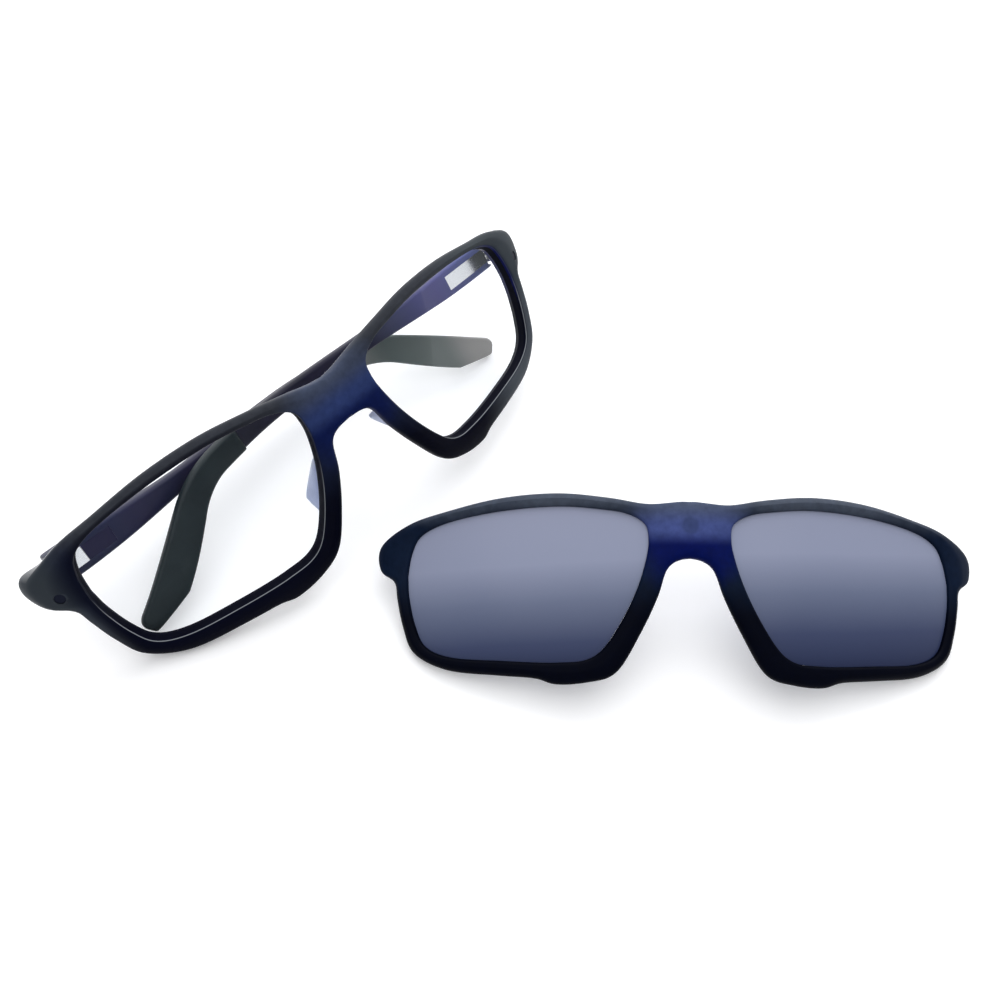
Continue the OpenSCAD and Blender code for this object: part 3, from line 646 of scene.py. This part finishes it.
def frame_plastic(name, place, shades, glow_size, edge_at, spot=None):
    """Satin translucent navy with painted light: painted shade makes it nearly black low down, a painted sheen
    lightens the brow, and painted blue light round the bridge stands for light coming through it.
    """
    m, t, b = new_material(name)
    v, (x, y, z) = local_coords(t, place)
    drift = math_node(t, "MULTIPLY", math_node(t, "SUBTRACT", noise(t, v, 0.09, 3), 0.5), 0.3)
    # Painted light by height: painted shade at the bottom, the side tone in between, a painted sheen on the
    # brow
    height = math_node(t, "MULTIPLY_ADD", y, 1 / 44, 0.55)
    body = ramp(t, math_node(t, "ADD", height, math_node(t, "MULTIPLY", drift, 0.4)), [
        (0.0, shades["low"]), (0.35, shades["low"]), (0.62, shades["side"]), (0.82, shades["side"]),
        (0.97, shades["brow"]),
    ], "EASE")
    # Painted blue light round the bridge, lighter toward its top, standing for light that comes through it
    far_x = math_node(t, "MULTIPLY", x, 1 / glow_size[0])
    far_y = math_node(t, "MULTIPLY", math_node(t, "SUBTRACT", y, 10), 1 / glow_size[1])
    far = math_node(t, "ADD", math_node(t, "SQRT", squares(t, far_x, far_y)), drift)
    near = ramp(t, far, [(0.0, 1.0), (0.5, 0.85), (1.0, 0.0)], "EASE")
    light = ramp(t, math_node(t, "MULTIPLY_ADD", y, 1 / 16, -0.1), [
        (0.0, shades["deep"]), (0.35, shades["deep"]), (0.6, shades["blue"]), (0.95, shades["top"]),
    ], "EASE")
    colour = blended(t, near, body, light)
    grain = noise(t, v, 0.6, 5)
    colour = blended(t, 1.0, colour, ramp(t, grain, [(0.3, 0.85), (0.7, 1.12)]), "MULTIPLY")
    if "painted_sheen" in shades:
        colour = painted_rim_light(t, x, y, colour, shades)
    if spot:
        off_x, off_y = math_node(t, "SUBTRACT", x, spot[0]), math_node(t, "SUBTRACT", y, spot[1])
        away = math_node(t, "MULTIPLY", math_node(t, "SQRT", squares(t, off_x, off_y)), 1 / spot[2])
        shade = ramp(t, away, [(0.0, 0.6), (0.55, 0.5), (1.0, 0.0)], "EASE")
        colour = blended(t, shade, colour, shades["spot"])
    # The rear edge of the brow is polished; the added term flattens the front's ball
    deep = math_node(t, "ADD", z, math_node(t, "MULTIPLY", squares(t, x, y), 1 / 290))
    deep = ramp(t, math_node(t, "MULTIPLY", deep, -0.2), [(edge_at, 0.0), (edge_at + 0.06, 1.0)])
    high = ramp(t, math_node(t, "MULTIPLY", y, 0.05), [(0.6, 0.0), (0.72, 1.0)])
    polish = math_node(t, "MULTIPLY", deep, high)
    satin = math_node(t, "SUBTRACT", 1, math_node(t, "MULTIPLY", polish, 0.6))
    feed_all(t, b, {
        "Base Color": colour,
        "Specular IOR Level": math_node(t, "MULTIPLY_ADD", polish, 0.6, 0.025),
        "Roughness": math_node(t, "MULTIPLY", satin, ramp(t, grain, [(0.25, 0.34), (0.75, 0.46)])),
    })
    bumped(t, b, noise(t, v, 9.0, 3), 0.10, 0.00003)
    return m


def sun_tint(name, place):
    """Grey-blue tint, lighter toward the top and a little to the left: partly a gradient tint and partly a
    painted reflection; a soft gloss over it.
    """
    m, t, b = new_material(name)
    v, (x, y, _) = local_coords(t, place)
    wave = math_node(t, "MULTIPLY", math_node(t, "SUBTRACT", noise(t, v, 0.035, 2), 0.5), 0.04)
    # Lighter toward the top: partly the gradient tint, partly a painted reflection
    h = math_node(t, "MULTIPLY_ADD", y, 1 / 38, 0.52)
    h = math_node(t, "ADD", h, math_node(t, "MULTIPLY", x, -0.0014))
    c = ramp(t, math_node(t, "ADD", h, wave), [
        (0.0, (0.016, 0.024, 0.068)), (0.2, (0.043, 0.056, 0.118)), (0.43, (0.125, 0.148, 0.230)),
        (0.66, (0.245, 0.270, 0.375)), (1.0, (0.255, 0.275, 0.375)),
    ])
    feed_all(t, b, {"Base Color": c, "Roughness": 0.2, "Specular IOR Level": 0.12})
    bumped(t, b, noise(t, v, 0.2, 2), 0.02, 0.0002)
    return m


def clear_lens(name, place):
    """Clear polished lens: light goes straight through, a faint white shine grows toward its edge-on view,
    and its ground edge is dark. The shine is emitted, because a mirrored one leaves grain on the dark parts
    behind it."""
    m, t, b = new_material(name)
    v, _ = local_coords(t, place)
    tint = ramp(t, noise(t, v, 0.05, 2), [(0.3, (0.93, 0.97, 0.99)), (0.7, (0.97, 0.99, 1.0))])
    clear = add(t, "ShaderNodeBsdfTransparent")
    feed(t, clear.inputs[0], (0.985, 0.99, 0.995))
    fresnel = add(t, "ShaderNodeFresnel")
    feed(t, fresnel.inputs[0], 1.45)
    shine = add(t, "ShaderNodeEmission")
    feed_all(t, shine, {"Color": tint, "Strength": math_node(t, "MULTIPLY", fresnel.outputs[0], 0.04)})
    feed_all(t, b, {"Base Color": (0.0010, 0.0014, 0.0060), "Roughness": 0.6, "Specular IOR Level": 0.02})
    faces = add(t, "ShaderNodeAddShader")
    whole = add(t, "ShaderNodeMixShader")
    for a, z in (
        (clear.outputs[0], faces.inputs[0]), (shine.outputs[0], faces.inputs[1]),
        (attribute(t, "edge"), whole.inputs[0]), (faces.outputs[0], whole.inputs[1]),
        (b.outputs[0], whole.inputs[2]), (whole.outputs[0], t.nodes["out"].inputs[0]),
    ):
        t.links.new(a, z)
    return m


def temple_plastic(name, place, painted_light):
    """Dark navy and purple translucent plastic; the third argument paints light on its inner face, bluest at
    the hinge.
    """
    m, t, b = new_material(name)
    v, (x, _, z) = local_coords(t, place)
    way = math_node(t, "MULTIPLY", x, 1 / 90)
    along = ramp(t, way, [
        (0.0, (0.010, 0.014, 0.040)), (0.25, (0.013, 0.016, 0.045)), (0.6, (0.010, 0.010, 0.024)),
        (1.0, (0.008, 0.010, 0.015)),
    ])
    violet = ramp(t, noise(t, v, 0.05, 4), [(0.42, 0.0), (0.66, 0.5)])
    colour = blended(t, violet, along, (0.018, 0.013, 0.042))
    # Painted light on the inner face: blue at the hinge, then violet and pale grey-teal, dark from two thirds
    # on
    painted_lit_colour = ramp(t, way, [
        (0.0, (0.090, 0.130, 0.360)), (0.22, (0.075, 0.070, 0.250)), (0.36, (0.085, 0.095, 0.200)),
        (0.5, (0.110, 0.135, 0.170)), (0.66, (0.020, 0.024, 0.034)), (1.0, (0.008, 0.010, 0.015)),
    ])
    face = ramp(t, math_node(t, "MULTIPLY_ADD", z, 0.2, 0.4), [(0.24, painted_light), (0.6, 0.0)])
    colour = blended(t, face, colour, painted_lit_colour)
    feed_all(t, b, {"Base Color": colour, "Roughness": 0.3, "Specular IOR Level": 0.15})
    bumped(t, b, noise(t, v, 4.0, 3), 0.05, 0.00003)
    return m


def tip_rubber(name, place, painted_light):
    """Dark green-black soft rubber with a faint bloom and small scuffs; the third argument blends in painted
    light, palest at both ends.
    """
    m, t, b = new_material(name)
    v, (x, _, _) = local_coords(t, place)
    colour = ramp(t, noise(t, v, 0.12, 4), [
        (0.3, (0.004, 0.009, 0.012)), (0.65, (0.008, 0.015, 0.018)), (0.8, (0.015, 0.023, 0.026)),
    ])
    # Painted light along the tip, palest at both ends
    painted_lit_colour = ramp(t, math_node(t, "MULTIPLY_ADD", x, 1 / 50, -1.6), [
        (0.04, (0.500, 0.500, 0.485)), (0.24, (0.290, 0.300, 0.290)), (0.44, (0.125, 0.155, 0.148)),
        (0.68, (0.150, 0.175, 0.168)), (0.86, (0.340, 0.330, 0.318)),
    ], "EASE")
    rough = ramp(t, noise(t, v, 1.6, 6, 0.7), [(0.35, 0.42), (0.7, 0.58)])
    feed_all(t, b, {
        "Base Color": blended(t, painted_light, colour, painted_lit_colour), "Roughness": rough, "Specular IOR Level": 0.2,
    })
    bumped(t, b, noise(t, v, 7.0, 4), 0.18, 0.00005)
    return m


def brushed_metal(name, place, colour, rough, stretch=(1.0, 9.0, 9.0), dark_from=None):
    """Metal brushed along x; from dark_from on, its face is dark navy like the temple's and not metallic."""
    m, t, b = new_material(name)
    v, (x, _, _) = local_coords(t, place)
    s = add(t, "ShaderNodeMapping")
    s.inputs["Scale"].default_value = stretch
    t.links.new(v, s.inputs["Vector"])
    lines = noise(t, s.outputs[0], 1.4, 5, 0.7)
    face = ramp(t, lines, [(0.3, tuple(0.80 * k for k in colour)), (0.7, colour)])
    metallic, specular = 1.0, 0.5
    if dark_from:
        stops = [(dark_from / 20, 0.0), (dark_from / 20 + 0.01, 1.0)]
        dark_part = ramp(t, math_node(t, "MULTIPLY", x, 1 / 20), stops)
        face = blended(t, dark_part, face, (0.013, 0.012, 0.045))
        metallic = math_node(t, "SUBTRACT", 1, dark_part)
        specular = math_node(t, "MULTIPLY_ADD", dark_part, -0.35, 0.5)
    feed_all(t, b, {
        "Base Color": face, "Metallic": metallic, "Specular IOR Level": specular,
        "Roughness": ramp(t, lines, [(0.3, rough * 0.8), (0.7, rough * 1.25)]),
    })
    bumped(t, b, lines, 0.12, 0.00003)
    return m


def pad_silicone(name, place):
    """Clear bluish silicone with a faint cloud in it."""
    m, t, b = new_material(name)
    v, _ = local_coords(t, place)
    cloud = noise(t, v, 0.3, 3)
    feed_all(t, b, {
        "Base Color": ramp(t, cloud, [(0.3, (0.30, 0.35, 0.52)), (0.7, (0.44, 0.50, 0.68))]),
        "Roughness": 0.3, "IOR": 1.41, "Transmission Weight": 0.75, "Subsurface Weight": 0.2,
    })
    b.inputs["Subsurface Radius"].default_value = (0.001, 0.001, 0.0015)
    bumped(t, b, cloud, 0.05, 0.0001)
    return m


def dress(ob, body, material, slot, *nodes):
    ob.data.materials.clear()
    ob.data.materials.append(material)
    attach(ob, body)
    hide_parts(*nodes)


def paint(node, material):
    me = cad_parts[node].data
    me.materials.clear()
    me.materials.append(material)
    for p in me.polygons:
        p.material_index = 0


# Fronts
# Shades of the fronts, mostly painted light: low, side and brow run from painted shade at the bottom to a
# painted sheen on the brow, and deep, blue and top are painted blue light round the bridge; the glasses'
# further shades paint the rims' sheen at the ends, shade on the inner walls and near the left openings, blue
# light on the right wall and a highlight on the lip.
NAVY_SHADES = dict(
    low=(0.0010, 0.0014, 0.0060), side=(0.0070, 0.0110, 0.0290), brow=(0.0270, 0.0300, 0.0380),
    deep=(0.0030, 0.0080, 0.0600), blue=(0.0250, 0.0420, 0.1350), top=(0.0460, 0.0590, 0.1000),
    painted_sheen=(0.0300, 0.0370, 0.0430), painted_sheen_low=(0.0600, 0.0690, 0.0820), wall=(0.0006, 0.0010, 0.0070),
    painted_wall_glow=(0.0060, 0.0090, 0.0900), lip=(0.2600, 0.2800, 0.3000), near=(0.0010, 0.0016, 0.0080),
)
CLIP_SHADES = dict(
    low=(0.0003, 0.0008, 0.0040), side=(0.0040, 0.0090, 0.0240), brow=(0.0560, 0.0680, 0.0940),
    deep=(0.0008, 0.0040, 0.0700), blue=(0.0540, 0.0760, 0.2300), top=(0.0570, 0.0730, 0.1260),
    spot=(0.02, 0.03, 0.07),
)
NAVY = frame_plastic("glasses_navy", ON_TABLE, NAVY_SHADES, (17, 16), 0.62)
CLIP_NAVY = frame_plastic("clip_navy", BESIDE, CLIP_SHADES, (16, 15), 0.46, (0, 11.8, 2.4))

# The glasses' bridge magnet lies under the skin of the bridge, so only the side pockets are cut
front = front_piece("front_shell", GLASSES, ON_TABLE)
cut(front, [
    drum("cut_" + k, POCKET_R, -POCKET_DEPTH, ON_TABLE, p, CUT_OVER, GLASSES["r"])
    for k, p in MAGNETS.items() if p[0]
])
sharp_by_angle(front, 42)
dress(front, "front", NAVY, "frame_plastic", "front_frame")

clip = front_piece("clip_shell", CLIP, BESIDE)
rear = -CLIP["depth"]
cut(clip, [
    drum("cut_" + k, POCKET_R, rear - CUT_OVER, BESIDE, p, rear + POCKET_DEPTH, CLIP["r"])
    for k, p in CLIP_MAGNETS.items()
])
sharp_by_angle(clip, 42)
dress(clip, "clip", CLIP_NAVY, "clip_plastic", "clip_frame")

# Lenses
CLEAR = clear_lens("clear_lens", ON_TABLE)
SUN = sun_tint("sun_lens", BESIDE)
SIDES = ((1, "right"), (-1, "left"))
for side, word in SIDES:
    lens = lens_piece("clear_lens_" + word, GLASSES, ON_TABLE, side)
    dress(lens, "front", CLEAR, "clear_lens", "lens_" + word)
    lens = lens_piece("tinted_lens_" + word, CLIP, BESIDE, side)
    dress(lens, "clip", SUN, "sun_lens", "sun_lens_" + word)

# Temples. By side: how strongly painted light lightens the arm's inner face and the tip, as in the
# photograph, and where along the spring case its face turns dark navy.
TEMPLE_PAINTED_LIGHT = {1: 0.8, -1: 0.03}
TIP_PAINTED_LIGHT = {1: 0.0, -1: 0.8}
DARK_NAVY_FROM = {1: None, -1: 10.4}
for side, word in SIDES:
    place = temple_place(side)
    arm = arm_piece("arm_shell_" + word, side)
    navy = temple_plastic("temple_navy_" + word, place, TEMPLE_PAINTED_LIGHT[side])
    dress(arm, "temple_" + word, navy, "temple_plastic", "temple_arm_" + word)
    tip = tip_piece("tip_rubber_" + word, side)
    rubber = tip_rubber("tip_black_" + word, place, TIP_PAINTED_LIGHT[side])
    dress(tip, "temple_" + word, rubber, "temple_rubber", "temple_tip_" + word)
    bright = brushed_metal("hinge_bright_" + word, place, (0.80, 0.81, 0.82), 0.22, dark_from=DARK_NAVY_FROM[side])
    screw = brushed_metal("screw_steel_" + word, place, (0.66, 0.66, 0.67), 0.3, (5, 5, 5))
    for n in ("spring_case_", "hinge_slider_", "hinge_leaf_"):
        paint(n + word, bright)
    for n in ("hinge_screw_", "slider_nut_", "hinge_spring_"):
        paint(n + word, screw)

# Magnets
DARK = brushed_metal("magnet_nickel", ON_TABLE, (0.010, 0.012, 0.022), 0.45, (3, 3, 3))
CLIP_DARK = brushed_metal("clip_magnet_nickel", BESIDE, (0.10, 0.105, 0.12), 0.35, (3, 3, 3))
for n in MAGNETS:
    paint(n, DARK)
for n in CLIP_MAGNETS:
    paint(n, CLIP_DARK)

# Nose pads: the source's pads, rounded
PAD = pad_silicone("pad_silicone", ON_TABLE)
for _, word in SIDES:
    pad = linked("soft_pad_" + word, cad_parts["nose_pad_" + word].data.copy())
    even = pad.modifiers.new("even", "REMESH")
    even.mode = "VOXEL"
    even.voxel_size = 0.35 * MM
    rounded = pad.modifiers.new("round", "SMOOTH")
    rounded.factor = 0.5
    rounded.iterations = 60
    applied(pad)
    for p in pad.data.polygons:
        p.use_smooth = True
    dress(pad, "front", PAD, "pad_silicone", "nose_pad_" + word)

# Floor: a hair under the pieces, and brighter to the eye the further away it lies
FLOOR_HALF, FLOOR_Z = 3.0, -0.0002
floor_me = bpy.data.meshes.new("floor")
corners = [(x * FLOOR_HALF, y * FLOOR_HALF, FLOOR_Z) for x, y in ((-1, -1), (1, -1), (1, 1), (-1, 1))]
floor_me.from_pydata(corners, [], [(0, 1, 2, 3)])
floor = linked("floor", floor_me)
m, t, b = new_material("floor_white")
where = add(t, "ShaderNodeTexCoord").outputs["Object"]
mottle = ramp(t, noise(t, where, 12, 3), [(0.3, (0.925, 0.930, 0.940)), (0.7, (0.945, 0.945, 0.950))])
apart = add(t, "ShaderNodeVectorMath", operation="LENGTH")
t.links.new(where, apart.inputs[0])
spread = ramp(t, math_node(t, "MULTIPLY", apart.outputs["Value"], 1 / 3), [(0.15, 0.16), (0.75, 0.62)])
feed_all(t, b, {
    "Base Color": mottle, "Roughness": 0.7, "Specular IOR Level": 0.2,
    "Emission Color": (1, 1, 1), "Emission Strength": math_node(t, "MULTIPLY", seen_rays(t), spread),
})
floor_me.materials.append(m)

# World: white to the eye, and half as bright in the light that it gives
world = bpy.data.worlds.new("studio")
bpy.context.scene.world = world
world.use_nodes = True
t = world.node_tree
t.nodes.clear()
sky = add(t, "ShaderNodeBackground")
feed_all(t, sky, {"Color": (0.96, 0.97, 1.0), "Strength": math_node(t, "MULTIPLY_ADD", seen_rays(t), 0.5, 0.5)})
t.links.new(sky.outputs[0], add(t, "ShaderNodeOutputWorld").inputs[0])

# Directions on the table, seen from the camera
AZIMUTH = math.radians(48.65)
AWAY = Vector((math.sin(AZIMUTH), math.cos(AZIMUTH), 0))
RIGHT = Vector((math.cos(AZIMUTH), -math.sin(AZIMUTH), 0))


def softbox(name, at, size, watts):
    """A flat light that shines at the middle of the table."""
    light = bpy.data.lights.new(name, "AREA")
    light.shape = "RECTANGLE"
    light.size, light.size_y = size
    light.energy = watts
    ob = linked(name, light)
    ob.location = at
    ob.rotation_euler = (-at).to_track_quat("-Z", "Y").to_euler()


softbox("back_softbox", AWAY * 0.75 + Vector((0, 0, 0.55)), (1.6, 0.9), 8.0)
softbox("top_softbox", Vector((0, 0, 1.5)) + AWAY * 0.2, (2.2, 2.2), 18.0)

# Camera, at the photograph's angle, with its focal length in pixels of a picture 1000 pixels wide
FOCAL_PX, PICTURE_PX, SENSOR = 993.03, 1000, 36
DOWN, ROLL = math.radians(54.23), math.radians(2.30)
EYE = (-84.92, -115.81, 202.27)
back = AWAY * -math.cos(DOWN) + Vector((0, 0, math.sin(DOWN)))
up = back.cross(RIGHT)
c, s = math.cos(ROLL), math.sin(ROLL)
axes = (RIGHT * c + up * s, RIGHT * -s + up * c, back)
eye = Vector((EYE[0] + BASE[0], EYE[1] + BASE[1], EYE[2])) * MM
cam = bpy.data.cameras.new("camera")
cam.sensor_width = SENSOR
cam.sensor_fit = "HORIZONTAL"
cam.lens = SENSOR * FOCAL_PX / PICTURE_PX
cam.clip_start = 0.01
cam_ob = linked("camera", cam)
cam_ob.matrix_world = Matrix.Translation(eye) @ Matrix(axes).transposed().to_4x4()
bpy.context.scene.camera = cam_ob
bpy.context.scene.view_settings.view_transform = "Standard"
